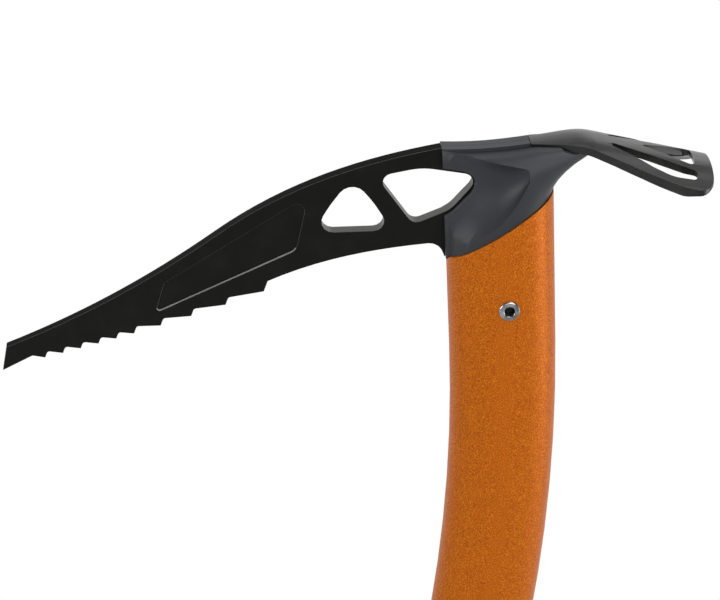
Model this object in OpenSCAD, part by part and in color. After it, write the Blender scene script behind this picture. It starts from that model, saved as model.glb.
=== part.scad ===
// Ice climbing tool: curved alloy shaft, toothed pick, arched adze, moulded head shells
// and a sliding hand rest with a sprung lock lever. Millimetres.
// Handle along +Z, pick towards -X, adze towards +X, origin in the centre of the leash hole.

/* [Shaft] */
// Length along the shaft from the foot tip to the top of the head
tool_length = 450; // [430:5:500]
// Fore and aft depth of the oval shaft
shaft_depth = 33.2; // [32:0.2:35]
// Width of the oval shaft
shaft_width = 22.4; // [21.6:0.2:24]
// Radius of the front and rear of the oval
nose_radius = 10; // [9:0.2:10.4]
// Wall of the tube
shaft_wall = 1.6; // [1.2:0.1:2]
// Radius of the bend above the handle
bend_radius = 550; // [450:10:700]
// Angle between the handle and the head
bend_angle = 14; // [8:0.5:18]
// Straight shaft below the head rivet datum
head_straight = 10; // [8:1:16]
// Slope of the cut at the top of the shaft
mitre_angle = 30.5; // [26:0.5:34]
// Height of that cut above the datum, on the shaft's axis
mitre_height = 31.2; // [30:0.2:33]
// Leash hole down to the foot tip
foot_drop = 30; // [28:1:40]
// Slope of the cut at the foot
foot_bevel = 35; // [25:1:40]

/* [Pick] */
// Reach from the front of the shaft to the tip
pick_reach = 137.5; // [128:0.5:146]
// Tip below the datum
tip_drop = 6.4; // [3:0.2:10]
// Height of the pick at its tip
tip_height = 7.9; // [6:0.1:10]
// Lean of the tip's front edge
tip_lean = 1.9; // [1:0.1:3]
// Plate thickness at the head
plate = 4; // [3.4:0.1:4.4]
// Plate thickness at the tip
tip_plate = 3; // [2.4:0.1:3.2]
// Point where the top edge turns, in front of the shaft
knee_reach = 69.4; // [64:0.2:74]
// Height of that point above the datum
knee_height = 33.9; // [32:0.1:36]
// Top edge slope at the tip
tip_slope = 18.8; // [15:0.2:22]
// Top edge slope at the turn
knee_slope = 33; // [30:0.5:36]
// Top edge slope at the head
root_slope = 7; // [5:0.5:10]
// Tip back to the first tooth
first_tooth = 13.3; // [12:0.1:15]
// Height of the first tooth above the tip
first_rise = 3.3; // [2.5:0.1:4]
// Fine teeth, counted
fine_teeth = 6; // [4:1:6]
// Pitch of the fine teeth
fine_pitch = 5.54; // [4.6:0.02:5.8]
// Coarse teeth, counted
coarse_teeth = 4; // [2:1:4]
// Pitch of the first coarse tooth
coarse_pitch = 8.3; // [7.6:0.1:8.6]
// Growth from one coarse tooth to the next
coarse_growth = 1.2; // [0.8:0.1:1.3]
// Slope of the tooth line at the first tooth
tooth_slope = 11; // [10:0.5:12]
// Radius of the tooth line
tooth_line_radius = 595; // [500:5:700]
// Depth of a fine tooth
tooth_depth = 2.1; // [1.6:0.1:2.4]
// Fillet at the foot of a tooth
gullet_radius = 0.9; // [0.5:0.1:1.2]
// Height of the throat above the datum
throat_height = 26.1; // [25.4:0.1:27]
// Fillet between the throat and the shaft
throat_radius = 4.5; // [3.5:0.1:5]
// Slope of the underside behind the last tooth
belly_slope = 21; // [18:0.5:24]
// Slope of the underside at the throat
throat_slope = 1.5; // [0.5:0.5:3]
// Step from the cover's top down to the pick's top edge
root_step = 0; // [-0.2:0.1:0.8]
// Rim over the front clip hole
apex_rim = 7.1; // [6.4:0.1:7.8]
// Rim over the rear clip hole
clip_rim = 4.5; // [4:0.1:5]
// Height of the cover over the rear end of that hole
tip_rim = 9.4; // [9:0.2:10.4]
// Web under the clip holes, above the throat's height
clip_web = 6.2; // [5.6:0.1:6.8]
// Rim over the side recess
recess_rim = 4.5; // [4:0.1:5.2]
// Web under the side recess, above the tooth line
recess_web = 4.9; // [4.4:0.1:5.4]
// Depth of the side recess
recess_depth = 0.6; // [0.3:0.05:0.8]

/* [Head shells] */
// Top of the ridge above the datum
ridge_height = 57.3; // [56.6:0.1:59]
// Dip of the ridge between its ends
ridge_dip = 0.7; // [0.4:0.1:1.4]
// Half width of the ridge
ridge_half = 3; // [2.7:0.1:3.3]
// Rise of the ridge band above the flanks
ridge_rise = 1; // [0.6:0.1:1.4]
// Share of that rise that is lost towards the front
ridge_fade = 0.5; // [0:0.1:0.8]
// Rise of the shells' opening over the clip hole
hole_flare = 1.1; // [0.6:0.1:1.5]
// Length of the lips beside the adze
lip_length = 7; // [6:0.2:8]
// Cover over the plate's top edge
roof = 1.8; // [1.4:0.1:2.2]
// Half thickness of the front edge
front_half = 4.4; // [4:0.1:5]
// Step from the shaft's wall in to the shells
shell_inset = 0.5; // [0.3:0.05:0.8]
// Overhang of the shells behind the shaft, under the adze
tail_reach = 31; // [28:0.5:33]
// Exponent of the shells' shoulder curve
shoulder = 3.5; // [3:0.1:4]
// Depth of the scoop in the sides
scoop_depth = 8.4; // [7.5:0.1:9]
// Half thickness left under the scoop at the front
scoop_floor = 2.9; // [2.8:0.1:3.4]
// Downward slope of the brow over the scoop, towards the rear
brow_fall = 13; // [12:0.1:14.5]
// Drop of the scoop's lower crease towards the front
crease_drop = 24; // [22:0.5:26]
// Flange diameter of the head rivet
rivet_flange = 6.4; // [6:0.1:7]
// Shank diameter of the head rivet
rivet_shank = 5; // [4.4:0.1:5.2]
// Bore of the head rivet
rivet_bore = 3; // [2.6:0.1:3.4]
// Height of the head rivet above the datum
rivet_rise = 5.8; // [5:0.1:8]
// Diameter of the dowels inside the head
dowel = 4; // [3:0.1:5]

/* [Adze] */
// Adze plate thickness
adze_plate = 2.2; // [1.8:0.1:2.6]
// Front of the adze behind the shaft's axis
adze_start = 9.6; // [9:0.2:11]
// Length of the adze, front to cutting edge
adze_length = 54.3; // [51:0.1:57]
// Greatest half width
adze_half = 13.5; // [12.8:0.1:14.2]
// Half width at the front
adze_neck = 3.2; // [3:0.1:3.6]
// Radius of the arch across the plate
adze_arch = 20; // [19:0.5:26]
// Length of the straight base before the bend
adze_base = 12.4; // [11:0.2:14]
// Upward slope of the base
adze_rise = 2.5; // [1:0.5:4]
// Downward slope of the blade
adze_fall = 16.6; // [14:0.2:19]
// Radius of the bend between base and blade
adze_bend = 22; // [18:0.5:26]
// Corner radius of the cutting edge
adze_corner = 5; // [4:0.5:6.5]
// Bulge of the cutting edge between its corners
edge_bulge = 0.3; // [0.2:0.1:1]
// Thickness left at the cutting edge
edge_plate = 0.9; // [0.6:0.1:1.4]
// Length of the ground underside behind the cutting edge
edge_grind = 8; // [6:0.5:10]
// Rim left beside the slots
adze_rim = 2.2; // [2:0.1:2.6]
// Rib left between the slots
adze_rib = 1.7; // [1.4:0.1:2]
// Margin between the slots and the cutting edge
adze_margin = 5.2; // [4.6:0.2:6]
// Length of an outer slot
slot_length = 30; // [27:0.5:31]
// Length of the middle slot
short_slot = 14.5; // [12:0.5:16]
// Angle at which an outer slot leaves the middle
slot_fan = 11.9; // [10.5:0.1:12.5]

/* [Foot] */
// Diameter of the leash hole
leash_bore = 10; // [9:0.5:11]
// Wall of the leash eyelet
eyelet_wall = 1; // [0.8:0.1:1.4]
// Width of the eyelet's rim
eyelet_rim = 1.6; // [1.2:0.1:2]
// Thickness of the eyelet's rim
rim_thick = 0.9; // [0.6:0.1:1.2]
// Length of the foot plug inside the tube, above the leash hole
plug_rise = 30; // [27:1:36]
// Thickness of the plug's sole under the tube
sole = 3; // [2:0.2:4]
// Height of the foot rivet above the leash hole
foot_rivet_rise = 19; // [16:0.5:20]

/* [Hand rest] */
// Bottom of the collar above the leash hole, at rest
rest_low = 34; // [30:1:60]
// Height of the collar
rest_height = 46; // [44:1:54]
// Wall of the collar
rest_wall = 3; // [2.6:0.1:3.6]
// Wall of the liner that runs on the shaft
liner_wall = 1; // [0.8:0.1:1.4]
// Finger seat's centre below the collar's top
seat_drop = 12; // [11:0.5:13]
// Half thickness of the lip that ends the finger hook
hook_lip = 2.4; // [2:0.1:3]
// Half width of the finger hook
hook_half = 10; // [9:0.2:11]
// Radius of the finger seat
finger_radius = 10; // [9:0.5:12]
// Thickness of the rubber in the finger seat
hook_rubber = 1.6; // [1.2:0.1:2]
// Diameter of the lever's pivot pin
pin = 3; // [2.6:0.1:3.4]
// Pivot pin behind the collar
pivot_stand = 5.2; // [4.8:0.1:6]
// Half width of the lever
lever_half = 5.6; // [5:0.1:6]
// Half thickness of the lever at its pivot
lever_thick = 3.7; // [3.4:0.1:4]
// Length of the lever's tail above the pivot
lever_tail = 25; // [23:0.5:27]
// Rearward sweep of the tail's end
tail_sweep = 8.2; // [7:0.2:9]
// Brake pad between the shaft and the lever's foot
pad_thick = 2.4; // [2.2:0.1:2.8]
// Sill under the window that the lever's foot reaches through
window_sill = 4; // [3:0.5:5]
// Thickness of each ear beside the lever
ear = 3; // [2.4:0.1:3.6]
// Rim of an ear round the pin
ear_rim = 2.6; // [2.2:0.1:3]
// Reach of an ear's root above and below the pin
ear_root = 13; // [11:0.5:15]
// Thickness of the lever's spring
spring_thick = 0.5; // [0.4:0.05:0.6]

/* [Clearances] */
// Gap between the hand rest and the shaft
slide_gap = 0.3; // [0.2:0.05:0.4]
// Radial gap in the lever's pivot
pivot_gap = 0.05; // [0.03:0.01:0.08]
// Gap between seated pieces
seat_gap = 0.1; // [0.05:0.05:0.15]
// Gap beside the lever
side_gap = 0.4; // [0.3:0.05:0.6]
// Gap from the middle plane to each head shell
shell_seam = 0.05; // [0.03:0.01:0.08]
// Gap between the liner and the collar
liner_fit = 0.05; // [0.03:0.01:0.08]
// Radial gap of a pin or rivet that is pressed in
press_gap = 0.01; // [0.005:0.005:0.02]

/* [Hidden] */
$fn = 64;

front = -shaft_depth / 2;
rear = shaft_depth / 2;
side = shaft_width / 2;
far = 300;

// Turn of a cross hole about its axis, which keeps its seam off the walls' edges
seam_turn = 20;

// Oval of four tangent arcs: nose arcs at both ends, flatter arcs on the sides
nose_centre = shaft_depth / 2 - nose_radius;
flank_radius = (pow(nose_centre, 2) + pow(side, 2) - pow(nose_radius, 2)) / (2 * (side - nose_radius));
flank_centre = flank_radius - side;
nose_turn = atan2(flank_centre, nose_centre);

// Shaft axis: straight handle, bend, straight head
bend_length = bend_radius * bend_angle * PI / 180;
handle_top = tool_length - foot_drop - bend_length - head_straight - ridge_height;
head_x = -bend_radius * (1 - cos(bend_angle)) - head_straight * sin(bend_angle);
head_z = handle_top + bend_radius * sin(bend_angle) + head_straight * cos(bend_angle);

bend_steps = 8;

// Pick
tip = [front - pick_reach, -tip_drop];
knee = [front - knee_reach, knee_height];
tang_half = 11;
tang_foot = 2 - head_straight;
plate_rear = 3;
cover_front = front - 0.4;
throat_step = 1;

// Underside: notch behind the tip, and the backs of the teeth for one unit of depth
tip_notch = [-3.8, 1];
tooth_back = 0.43;
coarse_share = 1.15;
last_back = [0.67, 1.62];

// Clip holes and side recess: places behind the shaft's front, with corner radii
front_corners = [[-27.6, 4.6], [-21.4, 30], [-16.2, 3.2], [-40.3, 3.6], [-34.6, 30]];
base_tilt = [-0.9, 0.2];
rear_corners = [[-20.2, 2.8], [-6.5, 20], [11.2, 2.8], [1.6, 10], [-9.8, 3.2]];
rim_fall = 0.6;
side_rise = 4.6;
tip_flare = [2.3, 1.5];
base_flare = 0.7;
rear_rise = 0.6;
recess_corners = [[-89.4, 0.8], [-86, 1.5], [-40.8, 2.5], [-45.4, 3.5]];
recess_rise = 1.4;

// Head shells
dip_centre = -3;
dip_half = 14;
shell_rows = 12;
shell_columns = 22;
tail_nose = 0.72;
tail_half = 0.8;
tail_curve = 1.72;
tail_start = 1.4;
tail_stop = 0.5;
core_front = front - 30;
band_overlap = 4;
lip_lean = 46;
band_root = 1.8;

// Rear end of the side scoop, the steps from there to the front, and the runs of its curves
scoop_tip = [rear - 8, mitre_height + 17.2];
scoop_steps = [0.4, 0.9, 1.7, 2.9, 4.5, 6.5, 9, 12, 15.5, 19, 22.5, 27];
crease_run = 11;
deep_run = 5;
valley_fall = 3.5;
valley_run = 1.6;
brow_round = 2;
brow_drop = 3.5;
brow_ease = 7;
scoop_lead = 0.3;
scoop_clear = [4, 2];

// Rivets: flange beyond the shaft's side, and its rounding
rivet_lip = 0.9;
lip_round = 0.6;
bore_round = 0.4;
core_sunk = 1.2;

// Adze: bend, and the flare from its neck to its greatest width
adze_steps = 5;
corner_turn = 6;
neck_ease = [18, 3.6];
flare_ease = [15, 1.2];
end_drop = 0.4;
flare_run = 3.5;

// Hand rest
liner_in = slide_gap;
liner_out = liner_in + liner_wall;
collar_in = liner_out + liner_fit;
collar_out = collar_in + rest_wall;
pivot = [rear + collar_out + pivot_stand, rest_low + rest_height / 2];
ear_in = lever_half + side_gap;
window_low = rest_low + window_sill;
window_high = pivot[1] - 3;
hook_centre = [front - collar_out - finger_radius - hook_rubber + 0.5, rest_low + rest_height - seat_drop];
clip_thick = 0.8;
pin_end = 1.4;

function unit(v) = v / norm(v);
function mitre(x) = mitre_height + tan(mitre_angle) * x;
function seat(x) = mitre(x) + 3 * seat_gap;
function ridge(x) = ridge_height - ridge_dip * max(0, 1 - pow((x - dip_centre) / dip_half, 2));

// Points of an arc round a centre
function arc(c, r, a0, a1, n = 8) =
    [for (i = [0:n]) c + r * [cos(a0 + (a1 - a0) * i / n), sin(a0 + (a1 - a0) * i / n)]];

// Points of a cubic curve
function cubic(p0, p1, p2, p3, n = 16) =
    [for (i = [0:n]) let (t = i / n, u = 1 - t)
        u * u * u * p0 + 3 * u * u * t * p1 + 3 * u * t * t * p2 + t * t * t * p3];

// Curve between two points that leaves and arrives at the given slopes
function flow(p, q, slope_p, slope_q, n = 16) =
    let (k = (q[0] - p[0]) / 3)
    cubic(p, p + k * [1, tan(slope_p)], q - k * [1, tan(slope_q)], q, n);

// Height of that curve at x
function along(p, q, slope_p, slope_q, x) =
    let (t = (x - p[0]) / (q[0] - p[0]), u = 1 - t, k = (q[0] - p[0]) / 3,
         b = p[1] + k * tan(slope_p), c = q[1] - k * tan(slope_q))
    u * u * u * p[1] + 3 * u * u * t * b + 3 * u * t * t * c + t * t * t * q[1];

// Arc that rounds the corner p between a and b
function fillet(a, p, b, r, n = 5) =
    let (u = unit(a - p), v = unit(b - p), half = acos(u * v) / 2,
         c = p + unit(u + v) * r / sin(half),
         s = p + u * r / tan(half) - c, e = p + v * r / tan(half) - c,
         a0 = atan2(s[1], s[0]), turn = (atan2(e[1], e[0]) - a0 + 540) % 360 - 180)
    arc(c, r, a0, a0 + turn, n);

// Polygon with a radius at each corner
function rounded(points, radii, n = 5) =
    let (m = len(points))
    [for (i = [0:m - 1])
        each fillet(points[(i + m - 1) % m], points[i], points[(i + 1) % m], radii[i], n)];

// Shaft oval, grown outwards by a distance
function oval(grow = 0, n = 10) = concat(
    [for (p = arc([nose_centre, 0], nose_radius + grow, -nose_turn, nose_turn, n)) p],
    [for (i = [1:n - 1])
        arc([0, -flank_centre], flank_radius + grow, nose_turn, 180 - nose_turn, n)[i]],
    [for (p = arc([-nose_centre, 0], nose_radius + grow, 180 - nose_turn, 180 + nose_turn, n)) p],
    [for (i = [1:n - 1])
        arc([0, flank_centre], flank_radius + grow, 180 + nose_turn, 360 - nose_turn, n)[i]]);

// Half width of that oval at a place along its depth
function oval_half(x, grow) =
    let (t = nose_centre + (nose_radius + grow) * cos(nose_turn))
    abs(x) <= t
        ? sqrt(pow(flank_radius + grow, 2) - x * x) - flank_centre
        : sqrt(max(0, pow(nose_radius + grow, 2) - pow(abs(x) - nose_centre, 2)));

// From the head's frame to the tool's frame
module at_head() {
    translate([head_x, 0, head_z]) rotate([0, -bend_angle, 0]) children();
}

// Outline without points that repeat the one after them
function distinct(points) = let (m = len(points))
    [for (i = [0:m - 1]) if (norm(points[i] - points[(i + 1) % m]) > 0.001) points[i]];

// Plate of an outline drawn in X and Z, centred on Y
module plate_of(points, thickness) {
    rotate([90, 0, 0]) linear_extrude(height = thickness, center = true) polygon(distinct(points));
}

// Faces between neighbouring rings of n points each
function ring_faces(n, pairs) = [for (p = pairs) for (j = [0:n - 1])
    let (a = p[0] * n + j, b = p[0] * n + (j + 1) % n, c = p[1] * n + j, d = p[1] * n + (j + 1) % n)
    each [[a, c, b], [b, c, d]]];

// Solid over a row of rings; a ring's point k and its point n - 1 - k face each other
module skin(rings) {
    n = len(rings[0]);
    m = len(rings);
    end = (m - 1) * n;
    caps = [for (k = [0:n / 2 - 2]) let (o = n - 1 - k)
        each [[k, k + 1, o], [k + 1, o - 1, o], [end + k, end + o, end + k + 1],
              [end + k + 1, end + o, end + o - 1]]];
    polyhedron([for (r = rings) each r],
        concat(ring_faces(n, [for (i = [0:m - 2]) [i, i + 1]]), caps));
}

// Tube between two rows of rings, the inner one inside the outer one
module tube_skin(outer, inner) {
    m = len(outer);
    rings = concat(outer, [for (i = [0:m - 1]) inner[m - 1 - i]]);
    polyhedron([for (r = rings) each r],
        ring_faces(len(outer[0]), [for (i = [0:2 * m - 1]) [i, (i + 1) % (2 * m)]]));
}

// Everything above the slanted cut at the top of the shaft
module above_mitre(lift = 0) {
    translate([0, 0, mitre_height + lift]) rotate([0, -mitre_angle, 0])
        translate([-far / 2, -far / 2, 0]) cube(far);
}

// Everything below the slanted cut at the foot
module below_foot(lift = 0) {
    translate([front, 0, -foot_drop + sole + lift]) rotate([0, -foot_bevel, 0])
        translate([-far / 2, -far / 2, -far]) cube(far);
}

module cross_hole(x, z, d) {
    translate([x, 0, z]) rotate([90, seam_turn, 0]) cylinder(h = far, d = d, center = true);
}

module pick() {
    color("#1c1c1a")
    at_head() difference() {
        plate_of(pick_outline(), plate);
        plate_of(front_hole(), 2 * plate);
        plate_of(rear_hole(), 2 * plate);
        for (s = [-1, 1]) {
            translate([0, s * plate / 2, 0]) plate_of(side_recess(), 2 * recess_depth);
            tip_taper(s);
        }
        cross_hole(rivet_x(), rivet_rise, rivet_shank + 2 * seat_gap);
        cross_hole(pick_key()[0], pick_key()[1], dowel + seat_gap);
    }
}

// Wedge that thins one side of the plate from the knee to the tip
module tip_taper(s) {
    slope = atan((plate - tip_plate) / 2 / (pick_reach - knee_reach));
    translate([knee[0], s * plate / 2, 0]) rotate([0, 0, s * slope])
        translate([-far, s > 0 ? 0 : -far, -far / 2]) cube(far);
}

function rivet_x() = 1.1;
function pick_key() = [-2.5, mitre(-2.5) + 6.5];
function stem_key() = [8.6, mitre(8.6) + 10];

// Top edge of the pick: two curves that meet at the knee
function tip_top() = tip + [tip_lean, tip_height];
function root_top() = [cover_front - seat_gap, ridge(front) - root_step];
function top_edge(x) = x < knee[0]
    ? along(tip_top(), knee, tip_slope, knee_slope, x)
    : along(knee, root_top(), knee_slope, root_slope, x);

// Tooth line: its height above the first tooth, and at a place along the pick
function tooth_line(d) = tan(tooth_slope) * d + d * d / (2 * tooth_line_radius);
function tooth_height(x) = tip[1] + first_rise + tooth_line(x - tip[0] - first_tooth);
function coarse_start() = (fine_teeth - 1) * fine_pitch;
function tooth_along() = concat(
    [for (i = [0:fine_teeth - 1]) i * fine_pitch],
    [for (i = [1:coarse_teeth])
        coarse_start() + i * coarse_pitch + coarse_growth * i * (i - 1) / 2]);

// Underside from the tip over the teeth, each with a steep back, a fillet and a long flank
function teeth() =
    let (d = tooth_along(), m = len(d), first = tip + [first_tooth, first_rise],
         tips = [for (v = d) first + [v, tooth_line(v)]],
         after = tips[m - 1] + tooth_depth * last_back)
    concat([tip], fillet(tip, first + tip_notch, first, gullet_radius, 3),
        [for (i = [0:m - 2])
            let (deep = tooth_depth * (i < fine_teeth - 1 ? 1 : coarse_share))
            each concat([tips[i]],
                fillet(tips[i], tips[i] + deep * [tooth_back, 1], tips[i + 1], gullet_radius, 3))],
        [tips[m - 1], after]);

function pick_outline() =
    let (low = teeth(), last = low[len(low) - 1], lip = front - 0.7 * throat_step,
         throat = [front - throat_step - throat_radius, throat_height],
         under_roof = ridge(dip_centre) - ridge_rise - roof - seat_gap)
    concat(low,
        flow(last, throat, belly_slope, throat_slope, 10),
        arc(throat - [0, throat_radius], throat_radius, 90, 15, 5),
        [[lip, seat(lip)], [-tang_half, seat(-tang_half)], [-tang_half, tang_foot],
         [tang_half, tang_foot], [tang_half, mitre(tang_half) - 3 * seat_gap],
         [plate_rear, mitre(plate_rear) - 3 * seat_gap], [plate_rear, under_roof],
         [root_top()[0], under_roof]],
        [for (i = [0:16]) flow(knee, root_top(), knee_slope, root_slope)[16 - i]],
        [for (i = [1:16]) flow(tip_top(), knee, tip_slope, knee_slope)[16 - i]]);

// Outline from places behind the shaft's front with radii, and their heights
function corner_x(corners, i) = front + corners[i][0];
function cut_out(corners, heights) =
    rounded([for (i = [0:len(corners) - 1]) [corner_x(corners, i), heights[i]]], [for (c = corners) c[1]]);

// Clip hole in front of the shells, a rounded triangle with bowed sides
function front_hole() =
    let (base = throat_height + clip_web,
         apex = top_edge(corner_x(front_corners, 0)) - apex_rim + front_corners[0][1],
         waist = (apex + base) / 2)
    cut_out(front_corners, [apex, waist, base + base_tilt[0], base + base_tilt[1], waist]);

// Clip hole that the shells run round, an inverted rounded triangle; the shells' opening is wider
function rear_hole(flare = 0) =
    let (base = throat_height + clip_web - base_flare * flare,
         corners = [for (i = [0:4]) rear_corners[i] + (i == 2 ? tip_flare * flare : [0, 0])])
    cut_out(corners, [top_edge(corner_x(rear_corners, 0)) - clip_rim + flare,
        top_edge(corner_x(rear_corners, 1)) - clip_rim - rim_fall + flare,
        ridge(corner_x(rear_corners, 2)) - tip_rim + flare, base + side_rise, base + rear_rise]);

// Shallow tapering recess on the pick's sides
function side_recess() =
    cut_out(recess_corners, [tooth_height(corner_x(recess_corners, 0)) + recess_web,
        top_edge(corner_x(recess_corners, 1)) - recess_rim,
        top_edge(corner_x(recess_corners, 2)) - recess_rim + recess_rise,
        tooth_height(corner_x(recess_corners, 3)) + 2 * recess_web]);

// Half width of the shells at a share q of their length and a share s of their height
function shell_half(q, s, x) =
    let (low = max(oval_half(x, -shell_inset), q < 0.5 ? front_half * (1 - q) : 0),
         nose = q < tail_nose ? 1 : sqrt(1 - pow((q - tail_nose) / (1 - tail_nose), 2)),
         high = ridge_half * nose)
    max(tail_half, high + (low - high) * pow(1 - pow(s, shoulder), 1 / shoulder));

// Rise of the ridge band, which fades towards the front
function band_rise(x) =
    ridge_rise * (1 - ridge_fade * pow(max(0, (x - dip_centre) / (cover_front - dip_centre)), 2));

// Point of the shells' outside, row i from the shaft up, column j from the front back
function shell_point(i, j) =
    let (s = sin(90 * i / shell_rows), q = (1 - cos(180 * j / shell_columns)) / 2,
         under = cover_front + (rear - shell_inset - cover_front) * q,
         x = under + tail_reach * min(tail_stop, pow(s, tail_curve)) * pow(max(0, 2 * q - 1), tail_start),
         low = mitre(x) + 2 * seat_gap, top = ridge(x) - band_rise(x))
    [x, shell_half(q, s, under), low + (top - low) * s];

// Body of the head, from the shaft's slanted top to the ridge
module shell_loft() {
    m = shell_columns;
    skin([for (i = [0:shell_rows]) concat(
        [for (j = [0:m]) shell_point(i, m - j)],
        [for (j = [0:m]) let (p = shell_point(i, j)) [p[0], -p[1], p[2]]])]);
}

// Raised band along the top
module ridge_band() {
    steps = 16;
    end = adze_start + band_overlap;
    top = [for (i = [0:steps]) let (x = cover_front + (end - cover_front) * i / steps) [x, ridge(x)]];
    low = [for (i = [0:steps]) let (p = top[steps - i]) p - [0, band_root]];
    plate_of(concat(top, low), 2 * ridge_half);
}

// Plug that holds the shells in the tube
module spigot() {
    difference() {
        translate([0, 0, -head_straight]) linear_extrude(height = far / 4)
            polygon(oval(-shaft_wall - seat_gap));
        above_mitre(2);
    }
}

// Hollow for the pick's plate and the adze's stem
function core_outline() =
    let (g = seat_gap, top = ridge(dip_centre) - ridge_rise - roof, neck = adze_start - 2 * g,
         rear_edge = [for (p = stem_rear()) p + [2 * g, -g]])
    concat([[core_front, 0], [-tang_half - g, 0], [-tang_half - g, tang_foot - g],
        [tang_half + g, tang_foot - g]], rear_edge,
        [[rear_edge[3][0], ridge_height], [neck, ridge_height], [neck, top], [core_front, top]]);

// Share of the shells' length at a place x and a share s of their height
function shell_share(x, s, q = 0.5, tries = 10) = tries == 0 ? min(1, max(0, q))
    : let (over = tail_reach * min(tail_stop, pow(s, tail_curve)) * pow(max(0, 2 * q - 1), tail_start),
           next = (x - over - cover_front) / (rear - shell_inset - cover_front))
      shell_share(x, s, (q + next) / 2, tries - 1);

// Half width of the shells' outside at a place x and a height z
function wall_half(x, z) =
    let (low = mitre(x) + 2 * seat_gap, top = ridge(x) - band_rise(x),
         s = min(1, max(0, (z - low) / (top - low))), q = shell_share(x, s))
    shell_half(q, s, cover_front + (rear - shell_inset - cover_front) * q);

// Section of the scoop at a run t in front of its rear end: brow, hollow and crease
function scoop_ring(t) =
    let (x = scoop_tip[0] - t, place = max(x, cover_front),
         top = ridge_height - tan(brow_fall) * (x - cover_front),
         drop = brow_drop * pow(max(0, 1 - (place - cover_front) / brow_ease), 2),
         high = top - drop - brow_round * pow(max(0, 1 - t), 2),
         low = scoop_tip[1] - crease_drop * (1 - exp(-t / crease_run)),
         mid = scoop_tip[1] - valley_fall * (1 - exp(-t / valley_run)),
         deep = max(scoop_floor, wall_half(place, mid) - scoop_depth * (1 - exp(-t / deep_run))),
         brow = [wall_half(place, high), high], crease = [wall_half(place, low), low],
         under = [deep, (high + mid) / 2], over = [deep, (low + mid) / 2],
         lead = brow + scoop_lead * (brow - under), tail = crease + scoop_lead * (crease - over),
         ring = concat([tail + [scoop_clear[0], -scoop_clear[1]], lead + scoop_clear, lead],
             cubic(brow, under, over, crease, 9), [tail]))
    [for (p = ring) [x, p[0], p[1]]];

// Scoop in the side, a pocket that opens from its rear end towards the front
module scoop() {
    last = len(scoop_steps) - 1;
    skin([for (i = [0:last]) scoop_ring(scoop_steps[last - i])]);
}

// Path of that room: it starts behind the lips, with a front that leans forward
function room_path() =
    let (path = adze_path(), start = path[0])
    concat([[start[0] + lip_length * [cos(adze_rise), sin(adze_rise)], start[1] + lip_lean, start[2]]],
        [for (i = [1:len(path) - 1]) path[i]]);

// Room for the adze: its outline with a gap, and all above its underside behind the lips
module adze_room() {
    gap = 2 * seat_gap;
    intersection() {
        translate([-2 * gap, 0, 0]) adze_band(seat_gap, 12);
        linear_extrude(height = far) polygon(concat(adze_edge(gap), mirrored(adze_edge(gap))));
    }
    adze_band(seat_gap, 12, room_path(), side);
}

// One half of the head cover, on the side s
module head_shell(s) {
    color("#3a3d42")
    at_head() mirror([0, s > 0 ? 0 : 1, 0]) difference() {
        union() {
            shell_loft();
            ridge_band();
            spigot();
        }
        translate([-far / 2, shell_seam - far, -far / 2]) cube(far);
        scoop();
        plate_of(core_outline(), plate + 2 * seat_gap);
        plate_of(rear_hole(hole_flare), far);
        adze_room();
        cross_hole(rivet_x(), rivet_rise, rivet_shank + 2 * seat_gap);
        for (d = [pick_key(), stem_key()])
            translate([d[0], 0, d[1]]) rotate([90, 0, 0])
                cylinder(h = 2 * (dowel_half() + seat_gap), d = dowel + seat_gap, center = true);
    }
}

module head_shell_left() {
    head_shell(-1);
}

module head_shell_right() {
    head_shell(1);
}

function dowel_half() = plate / 2 + 2.4;

module head_dowels() {
    color("silver")
    at_head() for (d = [pick_key(), stem_key()])
        translate([d[0], 0, d[1]]) rotate([90, 0, 0])
            cylinder(h = 2 * dowel_half(), d = dowel, center = true);
}

// Places and slopes along the adze's crown: base, bend, blade
function adze_path() =
    let (start = [adze_start, ridge(adze_start)],
         base = start + adze_base * [cos(adze_rise), sin(adze_rise)],
         centre = base - adze_bend * [-sin(adze_rise), cos(adze_rise)], turn = adze_rise + adze_fall,
         bend = [for (i = [0:adze_steps]) let (b = adze_rise - turn * i / adze_steps)
             [centre + adze_bend * [-sin(b), cos(b)], b]],
         last = bend[adze_steps])
    concat([[start, adze_rise, adze_plate]], [for (f = bend) [f[0], f[1], adze_plate]],
        [for (g = [[-edge_grind, adze_plate], [0, edge_plate], [edge_grind, edge_plate]])
            let (run = adze_start + adze_length + g[0] - last[0][0])
            [last[0] + run * [1, -tan(adze_fall)], -adze_fall, g[1]]]);

// Arched band that follows the crown, from below its underside to a height above it
module adze_band(below, high, path = adze_path(), wide = adze_half + 1) {
    spread = asin(wide / (adze_arch - adze_plate - seat_gap));
    m = 14;
    skin([for (f = path) let (up = [-sin(f[1]), cos(f[1])])
        [for (k = [0:2 * m + 1])
            let (a = spread * (k <= m ? 1 - 2 * k / m : 1 - 2 * (2 * m + 1 - k) / m),
                 r = adze_arch + (k <= m ? high : -f[2] - below), p = f[0] + up * (r * cos(a) - adze_arch))
            [p[0], r * sin(a), p[1]]]]);
}

// Half of the adze seen from above, front to cutting edge
function adze_edge(grow = 0) =
    let (x0 = adze_start - grow, x1 = adze_start + adze_length,
         xs = x1 - adze_corner * cos(corner_turn) - edge_bulge, flare = xs - flare_run,
         half = adze_half + grow, neck = adze_neck + grow,
         corner = arc([xs, half - adze_corner], adze_corner, 90, corner_turn, 7),
         p = corner[7], k = p[1] / 3)
    concat(cubic([x0, neck], [x0, neck] + neck_ease, [flare, half] - flare_ease, [flare, half]),
        corner, cubic(p, p + k * [sin(corner_turn), -cos(corner_turn)], [x1, k], [x1, 0.01], 5));

function mirrored(points) = let (m = len(points))
    [for (i = [0:m - 1]) [points[m - 1 - i][0], -points[m - 1 - i][1]]];

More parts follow.
